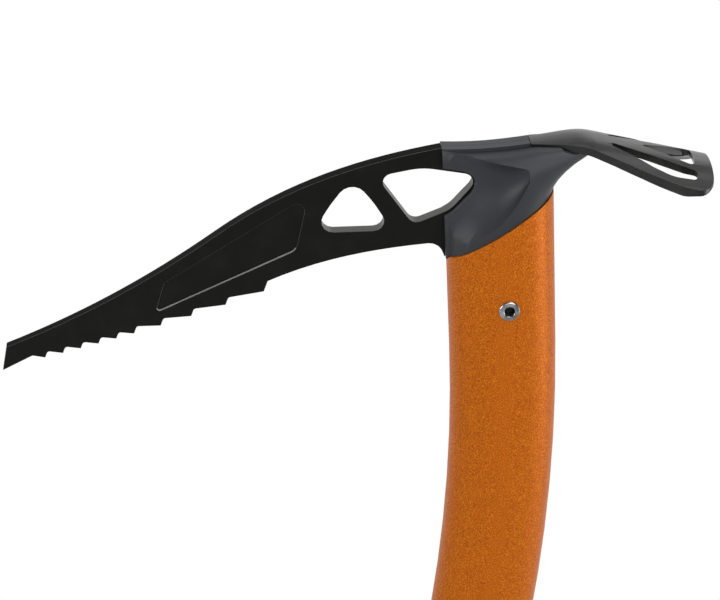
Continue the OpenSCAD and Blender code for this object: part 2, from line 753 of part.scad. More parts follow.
// Slots: where they end, and half the width that the two outer ones leave between them there
function slot_end() = adze_start + adze_length - adze_margin;
function fan_half() = 1.6 + tan(slot_fan) * slot_length;

// Long outer slot: an inner edge that fans out, and an outer edge inside the rim
function outer_slot() =
    let (x1 = slot_end(), x0 = x1 - slot_length, out = adze_half - adze_rim,
         corner = out - end_drop, tall = corner - fan_half())
    rounded([[x0 - 1, 1.2], [x0 + 0.55 * slot_length, 0.84 * out], [x1 - 8, out], [x1, corner],
        [x1, fan_half()]], [0.8, 12, 14, 0.55 * tall, 0.4 * tall]);

// Short wedge slot in the middle
function middle_slot() =
    let (x1 = slot_end(), half = fan_half() - adze_rib)
    rounded([[x1 - short_slot - 1.6, 0], [x1, half], [x1, -half]], [0.6, 1.6, 1.6]);

// Rear edge of the stem that goes down between the shells, from the shaft up into the plate
function stem_rear() = [[tang_half + 0.6, seat(tang_half + 0.6)], [15.4, mitre(15.4) + 5.6],
    [19.4, mitre(19.4) + 8.2], [adze_start + adze_base, ridge(adze_start) - adze_plate + 1]];
function stem_outline() =
    let (top = ridge(dip_centre) - ridge_rise - roof - seat_gap, x0 = plate_rear + 3 * seat_gap,
         neck = adze_start + 2 * seat_gap, high = stem_rear()[3][1])
    concat([[x0, seat(x0)]], stem_rear(), [[neck, high], [neck, top], [x0, top]]);

module adze() {
    color("#2e2e2c")
    at_head() difference() {
        union() {
            intersection() {
                adze_band(0, 0);
                linear_extrude(height = far) polygon(concat(adze_edge(), mirrored(adze_edge())));
            }
            plate_of(stem_outline(), plate);
        }
        linear_extrude(height = far) polygon(outer_slot());
        linear_extrude(height = far) mirror([0, 1]) polygon(outer_slot());
        linear_extrude(height = far) polygon(middle_slot());
        cross_hole(stem_key()[0], stem_key()[1], dowel + seat_gap);
    }
}

// Tubular rivet across the shaft, with a rounded flange at each end
module tube_rivet() {
    reach = side + 2 * press_gap;
    end = reach + rivet_lip;
    bore = rivet_bore / 2;
    flange = rivet_flange / 2;
    half = concat([[bore, 0], [bore, end - bore_round]],
        arc([bore + bore_round, end - bore_round], bore_round, 165, 90, 4),
        arc([flange - lip_round, end - lip_round], lip_round, 90, 0, 4),
        [[flange, reach], [rivet_shank / 2, reach], [rivet_shank / 2, 0]]);
    rotate([90, 0, 0]) rotate_extrude() polygon(half);
    rotate([-90, 0, 0]) rotate_extrude() polygon(half);
}

module head_rivet() {
    color("silver")
    at_head() translate([rivet_x(), 0, rivet_rise]) tube_rivet();
}

// Core of a rivet, sunk a little below both flanges
module rivet_core() {
    color("dimgray")
    rotate([90, 0, 0])
        cylinder(h = shaft_width - 2 * core_sunk, d = rivet_bore - seat_gap, center = true);
}

module head_rivet_core() {
    at_head() translate([rivet_x(), 0, rivet_rise]) rivet_core();
}

// Places and leans along the shaft's axis, past both cuts
function shaft_path() = concat([[[0, -foot_drop - 1], 0]],
    [for (i = [0:bend_steps]) let (b = bend_angle * i / bend_steps)
        [[bend_radius * (cos(b) - 1), handle_top + bend_radius * sin(b)], b]],
    [[[head_x, head_z] + 60 * [-sin(bend_angle), cos(bend_angle)], bend_angle]]);

function shaft_rings(grow) = [for (f = shaft_path()) [for (p = oval(grow))
    [f[0][0] + p[0] * cos(f[1]), p[1], f[0][1] + p[0] * sin(f[1])]]];

module shaft() {
    color("#c8690f")
    difference() {
        tube_skin(shaft_rings(0), shaft_rings(-shaft_wall));
        below_foot();
        at_head() above_mitre();
        cross_hole(0, 0, leash_bore + 2 * eyelet_wall + seat_gap);
        cross_hole(0, foot_rivet_rise, rivet_shank + seat_gap);
        at_head() cross_hole(rivet_x(), rivet_rise, rivet_shank + seat_gap);
    }
}

// Nylon plug in the foot, with a sole that covers the tube's end
module foot_plug() {
    color("#26272a")
    difference() {
        union() {
            difference() {
                translate([0, 0, -foot_drop]) linear_extrude(height = foot_drop + plug_rise)
                    polygon(oval(-shaft_wall - seat_gap));
                below_foot();
            }
            intersection() {
                translate([0, 0, -2 * foot_drop]) linear_extrude(height = 4 * foot_drop)
                    polygon(oval(-seat_gap));
                difference() {
                    below_foot(-seat_gap / 2);
                    below_foot(-sole);
                }
            }
            intersection() {
                translate([0, 0, -2 * foot_drop]) linear_extrude(height = 4 * foot_drop)
                    polygon(oval(-shaft_wall - seat_gap));
                difference() {
                    below_foot(1);
                    below_foot(-1);
                }
            }
        }
        cross_hole(0, 0, leash_bore + 2 * eyelet_wall + seat_gap);
        cross_hole(0, foot_rivet_rise, rivet_shank + seat_gap);
    }
}

// Lining of the leash hole, with a rim that follows the shaft's side
module leash_eyelet() {
    tube = leash_bore + 2 * eyelet_wall;
    color("silver")
    difference() {
        union() {
            rotate([90, 0, 0]) cylinder(h = 2 * side - 2, d = tube, center = true);
            intersection() {
                rotate([90, 0, 0]) cylinder(h = far, d = tube, center = true);
                translate([0, 0, -foot_drop]) linear_extrude(height = 2 * foot_drop)
                    polygon(oval(rim_thick));
            }
            intersection() {
                rotate([90, 0, 0]) cylinder(h = far, d = tube + 2 * eyelet_rim, center = true);
                translate([0, 0, -foot_drop]) linear_extrude(height = 2 * foot_drop)
                    difference() {
                        polygon(oval(rim_thick));
                        polygon(oval(seat_gap / 2));
                    }
            }
        }
        cross_hole(0, 0, leash_bore);
    }
}

module foot_rivet() {
    color("silver")
    translate([0, 0, foot_rivet_rise]) tube_rivet();
}

module foot_rivet_core() {
    translate([0, 0, foot_rivet_rise]) rivet_core();
}

// Finger hook in front of the collar, drawn from the side
function hook_outline() =
    let (x0 = front - collar_out, low = [x0 + 2, rest_low + 3], c = hook_centre, r = finger_radius,
         lip = c + (r + hook_lip) * [cos(190), sin(190)])
    concat([low, [x0 + 2, rest_low + rest_height - 3], [x0 - 0.6, rest_low + rest_height - 5]],
        arc(c, r, 15, -168, 16),
        arc(lip, hook_lip, 10, 190, 6),
        cubic(lip - [hook_lip, 2], lip - [hook_lip - 1, 12], [c[0] - 3, low[1] + 1], low, 10));

module rest_body() {
    color("#2a2b2e")
    difference() {
        union() {
            translate([0, 0, rest_low]) linear_extrude(height = rest_height) polygon(oval(collar_out));
            plate_of(hook_outline(), 2 * hook_half);
            for (s = [-1, 1])
                translate([0, s * (ear_in + ear / 2), 0])
                    plate_of(ear_outline(), ear);
        }
        translate([0, 0, rest_low - 1]) linear_extrude(height = rest_height + 2) polygon(oval(collar_in));
        translate([hook_centre[0], 0, hook_centre[1]]) rotate([90, 0, 0])
            cylinder(h = 2 * hook_half - 4, r = finger_radius + hook_rubber, center = true);
        translate([rear, -ear_in, window_low])
            cube([collar_out + 2, 2 * ear_in, window_high - window_low]);
        cross_hole(pivot[0], pivot[1], pin + 2 * press_gap);
    }
}

function ear_outline() =
    let (x0 = rear + collar_out - rest_wall)
    concat([[x0, pivot[1] - ear_root], [x0, pivot[1] + ear_root]],
        arc(pivot, pin / 2 + ear_rim, 65, -65, 8));

// Liner pressed into the collar, cut away for the brake pad
module rest_liner() {
    color("#d9d9d2")
    difference() {
        translate([0, 0, rest_low]) linear_extrude(height = rest_height) difference() {
            polygon(oval(liner_out));
            polygon(oval(liner_in));
        }
        translate([0, -ear_in, window_low])
            cube([far, 2 * ear_in, window_high - window_low]);
    }
}

// Rubber in the finger seat
module hook_rubber_pad() {
    g = seat_gap / 2;
    c = hook_centre;
    color("#151515")
    plate_of(concat(arc(c, finger_radius + hook_rubber - g, -8, -142, 16),
        arc(c, finger_radius, -142, -8, 16)), 2 * hook_half - 4 - 2 * seat_gap);
}

// Inner face of the lever's tail, in shares of its length, sweep and thickness
function tail_inside() = cubic(pivot + [-0.38 * lever_thick, 0.36 * lever_tail],
    pivot + [-0.1 * lever_thick, 0.56 * lever_tail], pivot + [0.3 * tail_sweep, 0.8 * lever_tail],
    pivot + [0.8 * tail_sweep, lever_tail], 8);

// Lock lever: foot below the pivot, thumb tail above it
function lever_outline() =
    let (h = lever_thick, t = lever_tail, w = tail_sweep, foot = rear + slide_gap + pad_thick,
         low = window_low + 1.2, heel = rear + collar_out + 0.6)
    concat([[foot, low], [foot, window_high - 1.4], [heel + 0.4, pivot[1] - 1.2 * h],
            pivot - [0.86 * h, 0], pivot + [-0.6 * h, 0.24 * t]],
        tail_inside(), arc(pivot + [w, 0.96 * t], 0.54 * h, 130, -30, 5),
        cubic(pivot + [1.15 * w, 0.88 * t], pivot + [0.6 * w, 0.56 * t], pivot + [1.2 * h, 0.32 * t],
            pivot + [1.13 * h, 0.08 * t], 8),
        [pivot + [0.97 * h, -1.24 * h], pivot + [-0.4 * h, -2.57 * h], [heel, low]]);

module lock_lever() {
    color("#c8690f")
    difference() {
        plate_of(lever_outline(), 2 * lever_half);
        cross_hole(pivot[0], pivot[1], pin + 2 * pivot_gap);
    }
}

module lever_pin() {
    color("silver")
    translate([pivot[0], 0, pivot[1]]) rotate([90, 0, 0])
        cylinder(h = 2 * (ear_in + ear + pin_end), d = pin, center = true);
}

// Rings that keep the pin in the ears
module pin_clips() {
    color("dimgray")
    for (s = [-1, 1])
        translate([pivot[0], s * (ear_in + ear + seat_gap + clip_thick / 2), pivot[1]]) rotate([90, 0, 0])
            difference() {
                cylinder(h = clip_thick, d = 2 * pin, center = true);
                cylinder(h = 2 * clip_thick, d = pin + 2 * press_gap, center = true);
            }
}

// Bowed leaf spring between the collar and the lever's tail
module lever_spring() {
    half = spring_thick / 2;
    foot = [rear + collar_out + half + press_gap, pivot[1] + 0.44 * lever_tail];
    end = tail_inside()[6] - [spring_thick + seat_gap, 0];
    line = cubic(foot, foot + [0, 0.24 * lever_tail], end - [0.4 * tail_sweep, 0.14 * lever_tail], end, 10);
    color("silver")
    plate_of(concat([for (p = line) p - [half, 0]], [for (i = [0:10]) line[10 - i] + [half, -half]]),
        lever_half);
}

// Rubber block on the lever's foot, hollowed to the shaft
module brake_pad() {
    color("#151515")
    difference() {
        translate([rear - pad_thick, -lever_half + side_gap, window_low + 1.6])
            cube([slide_gap + 2 * pad_thick - seat_gap / 2, 2 * (lever_half - side_gap),
                  window_high - window_low - 3.4]);
        translate([0, 0, rest_low - 1]) linear_extrude(height = rest_height) polygon(oval(slide_gap));
    }
}

pick();
head_shell_left();
head_shell_right();
adze();
head_dowels();
head_rivet();
head_rivet_core();
shaft();
foot_plug();
leash_eyelet();
foot_rivet();
foot_rivet_core();
rest_body();
rest_liner();
hook_rubber_pad();
lock_lever();
lever_pin();
pin_clips();
lever_spring();
brake_pad();
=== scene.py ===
"""Looks of the ice climbing tool: softened pieces, finishes, studio and camera.

Every piece is in metres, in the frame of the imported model: the handle along +Z, the pick
towards -X, the adze towards +X, and the origin in the centre of the leash hole.
"""

from __future__ import annotations

import logging
import math
from dataclasses import dataclass, field
from enum import Enum, IntEnum
from typing import Any

import bmesh
import bpy
from bpy.types import Material, Node, NodeSocket, NodeTree, Object
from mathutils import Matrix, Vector

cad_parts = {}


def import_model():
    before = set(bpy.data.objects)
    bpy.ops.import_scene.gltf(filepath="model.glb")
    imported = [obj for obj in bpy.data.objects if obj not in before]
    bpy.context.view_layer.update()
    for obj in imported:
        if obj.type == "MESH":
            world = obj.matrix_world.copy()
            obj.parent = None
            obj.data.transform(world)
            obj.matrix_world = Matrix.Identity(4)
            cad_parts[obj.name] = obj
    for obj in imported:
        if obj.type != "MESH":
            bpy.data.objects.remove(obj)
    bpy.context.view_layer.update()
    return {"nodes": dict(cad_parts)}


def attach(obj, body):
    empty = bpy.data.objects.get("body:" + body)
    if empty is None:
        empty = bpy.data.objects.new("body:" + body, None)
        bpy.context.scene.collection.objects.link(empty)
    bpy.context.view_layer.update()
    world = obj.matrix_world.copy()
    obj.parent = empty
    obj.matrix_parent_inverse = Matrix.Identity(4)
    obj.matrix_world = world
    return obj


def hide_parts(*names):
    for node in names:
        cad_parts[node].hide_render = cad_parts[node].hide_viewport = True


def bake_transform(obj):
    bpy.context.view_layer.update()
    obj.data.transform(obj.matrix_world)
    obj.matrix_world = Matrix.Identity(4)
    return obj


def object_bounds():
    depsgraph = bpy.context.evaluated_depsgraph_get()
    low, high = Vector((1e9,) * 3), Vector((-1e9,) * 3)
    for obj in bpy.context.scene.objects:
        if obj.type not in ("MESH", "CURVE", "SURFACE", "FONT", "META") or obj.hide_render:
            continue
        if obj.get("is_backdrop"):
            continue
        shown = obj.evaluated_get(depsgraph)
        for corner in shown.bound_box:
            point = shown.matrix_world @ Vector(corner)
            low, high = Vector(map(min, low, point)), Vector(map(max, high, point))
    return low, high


LOG = logging.getLogger("ice_tool")
MM_PER_METRE = 1000.0
WHITE = "#ffffff"

# The sRGB curve: a straight line up to the knee, and a power above it.
SRGB_KNEE = 0.04045
SRGB_SLOPE = 12.92
SRGB_OFFSET = 0.055
SRGB_POWER = 2.4

# Finer layers of a noise, and how strong each of them is against the one before it.
NOISE_DETAIL = 2.0
NOISE_DECAY = 0.55

# CAD corners nearer than this are one corner, and faces flatter than this are one face.
MERGE_MM = 0.002
FLAT_DEG = 0.4

# Faces that meet at less than this are shaded as one, each by its plain area.
SMOOTH_DEG = 30.0
PLAIN_AREA = 50

# Edge width of a piece whose profile the CAD has rounded already.
ROUND_IN_CAD = 0.0


def mm(value: float) -> float:
    """Millimetres as metres."""
    return value / MM_PER_METRE


def per_metre(size_mm: float) -> float:
    """Texture scale that gives features of about this size."""
    return 1.0 / mm(size_mm)


def linear(colour: str) -> tuple[float, float, float, float]:
    """Turn an sRGB hex colour to linear light.

    Args:
        colour: six hex digits after a hash sign.

    Returns:
        Red, green, blue and an alpha of 1.
    """
    channels = [int(colour[i:i + 2], 16) / 255.0 for i in (1, 3, 5)]
    red, green, blue = (
        c / SRGB_SLOPE if c <= SRGB_KNEE
        else ((c + SRGB_OFFSET) / (1.0 + SRGB_OFFSET)) ** SRGB_POWER
        for c in channels)
    return red, green, blue, 1.0


def add_node(tree: NodeTree, kind: str, settings: dict[str, Any] | None = None,
             inputs: dict[Any, Any] | None = None,
             stops: list[tuple[float, str]] | None = None) -> Node:
    """Add a shader node with its settings, values and links.

    Args:
        tree: node tree that gets the node.
        kind: Blender's type name of the node.
        settings: attributes of the node.
        inputs: values by socket name or index; an output socket is linked instead.
        stops: places and sRGB hex colours of a colour ramp, from low to high.

    Returns:
        The new node.
    """
    node = tree.nodes.new(kind)
    for name, value in (settings or {}).items():
        setattr(node, name, value)
    for key, value in (inputs or {}).items():
        if isinstance(value, NodeSocket):
            tree.links.new(value, node.inputs[key])
        else:
            node.inputs[key].default_value = value
    for number, (place, colour) in enumerate(stops or []):
        marks = node.color_ramp.elements
        mark = marks[number] if number < len(marks) else marks.new(place)
        mark.position = place
        mark.color = linear(colour)
    return node


class Ride(Enum):
    """Bodies that a piece can ride on."""

    TOOL = "tool"
    HAND_REST = "hand_rest"
    LEVER = "lever"


class Layer(IntEnum):
    """Finishes of a piece, in the order of its material slots."""

    NEIGHBOUR = -1
    FACES = 0
    EDGES = 1
    WALLS = 2
    LINE = 3
    BACK = 4


@dataclass(frozen=True)
class Finish:
    """Base of all finishes: a principled surface with a fine grain on Object coordinates.

    Attributes:
        name: name of the material.
        colour: main colour, as sRGB hex.
        roughness: how far the surface scatters what it mirrors.
        metallic: share of the surface that mirrors as metal does.
        grain_mm: size of the grain.
        relief_mm: height of the grain.
        shine: strength of the mirror image where the surface isn't metal.
        bump: share of the grain's height that shows.
        grain_detail: finer layers in the grain.
    """

    name: str
    colour: str
    roughness: float
    metallic: float = 0.0
    grain_mm: float = 0.5
    relief_mm: float = 0.01
    shine: float = 0.5
    bump: float = 0.5
    grain_detail: float = NOISE_DETAIL

    def build(self) -> Material:
        """Make the shader, roughen it by its grain and add the finish's own pattern.

        Returns:
            The finished material.
        """
        material = bpy.data.materials.new(self.name)
        material.use_nodes = True
        material.diffuse_color = linear(self.colour)
        tree = material.node_tree
        shader = tree.nodes["Principled BSDF"]
        values = {"Base Color": linear(self.colour), "Metallic": self.metallic,
                  "Roughness": self.roughness, "Specular IOR Level": self.shine}
        for name, value in values.items():
            shader.inputs[name].default_value = value
        place = add_node(tree, "ShaderNodeTexCoord").outputs["Object"]
        grain = add_node(tree, "ShaderNodeTexNoise", inputs={
            "Vector": place, "Scale": per_metre(self.grain_mm),
            "Detail": self.grain_detail, "Roughness": NOISE_DECAY}).outputs["Fac"]
        relief = add_node(tree, "ShaderNodeBump", inputs={
            "Height": grain, "Strength": self.bump, "Distance": mm(self.relief_mm)})
        tree.links.new(relief.outputs["Normal"], shader.inputs["Normal"])
        self.pattern(tree, shader, place, grain)
        return material

    def pattern(self, tree: NodeTree, shader: Node, place: NodeSocket, grain: NodeSocket) -> None:
        """Add the finish's own pattern; a plain finish has none."""


@dataclass(frozen=True)
class AnodisedAlloy(Finish):
    """Bead-blasted aluminium, dyed and sealed: light and dark grains under a clear satin skin.

    Attributes:
        light: colour of the light grains, as sRGB hex.
        dark: colour of the dark grains, as sRGB hex.
        stops: places of dark, main and light colour in the grain's range.
        cloud_mm: size of the slow drift in the dye.
        drift: share of that drift in the grain.
        skin: weight of the clear oxide.
        skin_roughness: how far that oxide scatters what it mirrors.
    """

    bump: float = 0.35
    grain_detail: float = 1.0
    light: str = "#da7a16"
    dark: str = "#a84d06"
    stops: tuple[float, float, float] = (0.32, 0.5, 0.68)
    cloud_mm: float = 3.0
    drift: float = 0.05
    skin: float = 0.05
    skin_roughness: float = 0.3

    def pattern(self, tree: NodeTree, shader: Node, place: NodeSocket, grain: NodeSocket) -> None:
        """Sparkling dyed metal under a thin clear oxide.

        Args:
            tree: the material's node tree.
            shader: its principled node.
            place: coordinates on the piece, in metres.
            grain: value of the grain.
        """
        cloud = add_node(tree, "ShaderNodeTexNoise", inputs={
            "Vector": place, "Scale": per_metre(self.cloud_mm),
            "Detail": NOISE_DETAIL, "Roughness": NOISE_DECAY})
        blend = add_node(tree, "ShaderNodeMix", {"data_type": "FLOAT"},
                         {"Factor": self.drift, "A": grain, "B": cloud.outputs["Fac"]})
        dye = add_node(tree, "ShaderNodeValToRGB", inputs={"Fac": blend.outputs[0]},
                       stops=list(zip(self.stops, (self.dark, self.colour, self.light))))
        tree.links.new(dye.outputs["Color"], shader.inputs["Base Color"])
        shader.inputs["Coat Weight"].default_value = self.skin
        shader.inputs["Coat Roughness"].default_value = self.skin_roughness


@dataclass(frozen=True)
class CoatedSteel(Finish):
    """Heat-treated steel with a baked black coat: satin, faintly pebbled, with a few dull scuffs.

    Attributes:
        scuff: colour of the scuffs, as sRGB hex.
        scuff_mm: size of the scuffs.
        scuff_detail: finer layers in them.
        stops: places of main and scuffed colour in the scuffs' range.
        gloss_span: part of that range over which the gloss changes.
        gloss_swing: what the roughness loses and gains over that part.
    """

    bump: float = 0.35
    scuff: str = field(kw_only=True)
    scuff_mm: float = 9.0
    scuff_detail: float = 4.0
    stops: tuple[float, float] = (0.5, 0.8)
    gloss_span: tuple[float, float] = (0.3, 0.7)
    gloss_swing: tuple[float, float] = (-0.05, 0.07)

    def pattern(self, tree: NodeTree, shader: Node, place: NodeSocket, grain: NodeSocket) -> None:
        """Black coat whose gloss wanders a little.

        Args:
            tree: the material's node tree.
            shader: its principled node.
            place: coordinates on the piece, in metres.
            grain: value of the grain; not used.
        """
        cloud = add_node(tree, "ShaderNodeTexNoise", inputs={
            "Vector": place, "Scale": per_metre(self.scuff_mm),
            "Detail": self.scuff_detail, "Roughness": NOISE_DECAY}).outputs["Fac"]
        coat = add_node(tree, "ShaderNodeValToRGB", inputs={"Fac": cloud},
                        stops=list(zip(self.stops, (self.colour, self.scuff))))
        tree.links.new(coat.outputs["Color"], shader.inputs["Base Color"])
        gloss = add_node(tree, "ShaderNodeMapRange", inputs={
            "Value": cloud, "From Min": self.gloss_span[0], "From Max": self.gloss_span[1],
            "To Min": self.roughness + self.gloss_swing[0],
            "To Max": self.roughness + self.gloss_swing[1]})
        tree.links.new(gloss.outputs["Result"], shader.inputs["Roughness"])


@dataclass(frozen=True)
class MouldedNylon(Finish):
    """Glass-filled nylon out of a spark-eroded mould: matte, with a fine pebble and soft sheen.

    Attributes:
        pale: colour where the melt flowed thin, as sRGB hex.
        flow_mm: size of the flow marks.
        stops: places of main and pale colour in the flow's range.
    """

    pale: str = field(kw_only=True)
    flow_mm: float = 18.0
    stops: tuple[float, float] = (0.35, 0.75)

    def pattern(self, tree: NodeTree, shader: Node, place: NodeSocket, grain: NodeSocket) -> None:
        """Matte moulded plastic with a slight flow in its tone.

        Args:
            tree: the material's node tree.
            shader: its principled node.
            place: coordinates on the piece, in metres.
            grain: value of the grain; not used.
        """
        flow = add_node(tree, "ShaderNodeTexNoise", inputs={
            "Vector": place, "Scale": per_metre(self.flow_mm),
            "Detail": NOISE_DETAIL, "Roughness": NOISE_DECAY})
        tone = add_node(tree, "ShaderNodeValToRGB", inputs={"Fac": flow.outputs["Fac"]},
                        stops=list(zip(self.stops, (self.colour, self.pale))))
        tree.links.new(tone.outputs["Color"], shader.inputs["Base Color"])


@dataclass(frozen=True)
class TurnedMetal(Finish):
    """Bare turned or pressed metal: bright, with fine tool marks and small stains.

    Attributes:
        stain: colour of the stains, as sRGB hex.
        stain_mm: size of the stains.
        stain_detail: finer layers in them.
        stops: places of stained and main colour in the stains' range.
    """

    bump: float = 0.4
    stain: str = "#6a6a68"
    stain_mm: float = 2.5
    stain_detail: float = 3.0
    stops: tuple[float, float] = (0.3, 0.6)

    def pattern(self, tree: NodeTree, shader: Node, place: NodeSocket, grain: NodeSocket) -> None:
        """Bright metal whose colour dulls in small spots.

        Args:
            tree: the material's node tree.
            shader: its principled node.
            place: coordinates on the piece, in metres.
            grain: value of the grain; not used.
        """
        spots = add_node(tree, "ShaderNodeTexNoise", inputs={
            "Vector": place, "Scale": per_metre(self.stain_mm),
            "Detail": self.stain_detail, "Roughness": NOISE_DECAY})
        metal = add_node(tree, "ShaderNodeValToRGB", inputs={"Fac": spots.outputs["Fac"]},
                         stops=list(zip(self.stops, (self.stain, self.colour))))
        tree.links.new(metal.outputs["Color"], shader.inputs["Base Color"])


class Finishes:
    """All finishes of the tool, built once.

    The real grains, of about 0.1 mm, are too fine to show in the render, so every grain is drawn
    coarser, at the size that its finish gives.
    """

    def __init__(self) -> None:
        """Build every finish."""
        # Bead-blasted, dyed and sealed aluminium: a warm orange that glitters in light and dark
        # grains and has no sharp mirror image.
        self.shaft = AnodisedAlloy(
            "orange_anodised_alloy", "#c46004", roughness=0.45, metallic=0.35, grain_mm=0.36,
            relief_mm=0.012, shine=0.2, light="#e08612", dark="#a44a02").build()
        # The same metal on the tube's cut rims, lightened as a painted highlight: a pale line.
        self.shaft_rim_highlight = AnodisedAlloy(
            "orange_anodised_painted_rim_highlight", "#e89c3c", roughness=0.3, metallic=0.3, grain_mm=0.42,
            relief_mm=0.012, light="#e8a54c", dark="#ca7a1e").build()
        # The same dye on the milled lever: smoother, with a clearer sheen.
        self.lever = AnodisedAlloy(
            "orange_anodised_lever", "#c8650e", roughness=0.36, metallic=0.3, grain_mm=0.42,
            relief_mm=0.012, shine=0.3).build()
        # Baked coat on the sides of the steel plate: almost black, with a weak satin sheen.
        self.pick = CoatedSteel(
            "black_coated_steel", "#0b0b08", roughness=0.34, shine=0.2, scuff="#14130f").build()
        # The coat on the plate's rounded edges, lightened as a painted highlight: a dark grey line
        # round the outline.
        self.pick_edge_highlight = CoatedSteel(
            "black_steel_painted_edge_highlight", "#3a3935", roughness=0.32, scuff="#46453f").build()
        # The coat on the plate's upper edge face as painted shade: a darker copy that mirrors
        # almost nothing, black in any light.
        self.pick_back_shade = CoatedSteel(
            "black_steel_painted_back_shade", "#090907", roughness=0.6, shine=0.05, scuff="#100f0c").build()
        # The coat on the cut walls of the clip holes, lightened to dark grey as painted light.
        self.pick_hole_wall_light = CoatedSteel(
            "black_steel_painted_hole_wall_light", "#3a3a37", roughness=0.36, scuff="#4a4a45").build()
        # Painted highlight along the recess's lower wall: a fine bright line.
        self.pick_line_highlight = CoatedSteel(
            "recess_painted_highlight_line", "#a4a6a6", roughness=0.3, metallic=0.3, scuff="#b8babb").build()
        # Baked coat on the pressed blade, laid on smooth: black, with a broad satin sheen.
        self.adze = CoatedSteel(
            "black_coated_adze", "#141513", roughness=0.3, relief_mm=0.006, shine=0.6,
            scuff="#282824").build()
        # Glass-filled nylon out of an eroded mould: a cool dark grey with a soft sheen on curves.
        self.head = MouldedNylon(
            "dark_grey_nylon", "#1f2328", roughness=0.48, grain_mm=0.3, relief_mm=0.02, shine=0.6,
            pale="#24282d").build()
        # The same nylon in black on the foot and the hand rest: duller and more even.
        self.rest = MouldedNylon(
            "black_nylon", "#1f2022", roughness=0.52, grain_mm=0.3, relief_mm=0.02,
            pale="#292a2d").build()
        # Machined natural acetal: milky white, with a waxy gloss.
        self.liner = Finish("natural_acetal", "#d8d6cc", roughness=0.4, grain_mm=0.6).build()
        # Moulded rubber: a flat black that mirrors hardly anything.
        self.rubber = Finish(
            "black_rubber", "#161616", roughness=0.75, grain_mm=0.4, relief_mm=0.03).build()
        # Turned aluminium of the rivets and the eyelet: a bright ring with a sharp glint.
        self.rivet = TurnedMetal(
            "bright_rivet_alloy", "#bcbdbf", roughness=0.2, metallic=1.0, grain_mm=0.3).build()
        # Ground steel of dowels, pin and leaf spring: a greyer and broader glint.
        self.steel = TurnedMetal(
            "bright_steel", "#b4b4b2", roughness=0.3, metallic=1.0, grain_mm=0.3).build()
        # Steel blackened by oxide, of the rivets' cores and the clips: a dark, brownish metal.
        self.dark_steel = TurnedMetal(
            "black_oxide_steel", "#302f2d", roughness=0.42, metallic=1.0, grain_mm=0.3,
            stain="#1e1d19").build()


def deselect() -> None:
    """Leave edit mode and select nothing."""
    if bpy.context.object and bpy.context.object.mode != "OBJECT":
        bpy.ops.object.mode_set(mode="OBJECT")
    bpy.ops.object.select_all(action="DESELECT")


def activate(piece: Object) -> None:
    """Make a piece the only selected one.

    Args:
        piece: object that the next operators act on.
    """
    deselect()
    piece.select_set(True)
    bpy.context.view_layer.objects.active = piece


def apply_modifier(piece: Object, kind: str, **settings: Any) -> None:
    """Add a modifier with its settings and apply it.

    Args:
        piece: object that gets the modifier.
        kind: Blender's type name of the modifier.
        settings: attributes of the modifier.
    """
    activate(piece)
    modifier = piece.modifiers.new(kind.lower(), kind)
    for name, value in settings.items():
        setattr(modifier, name, value)
    bpy.ops.object.modifier_apply(modifier=modifier.name)


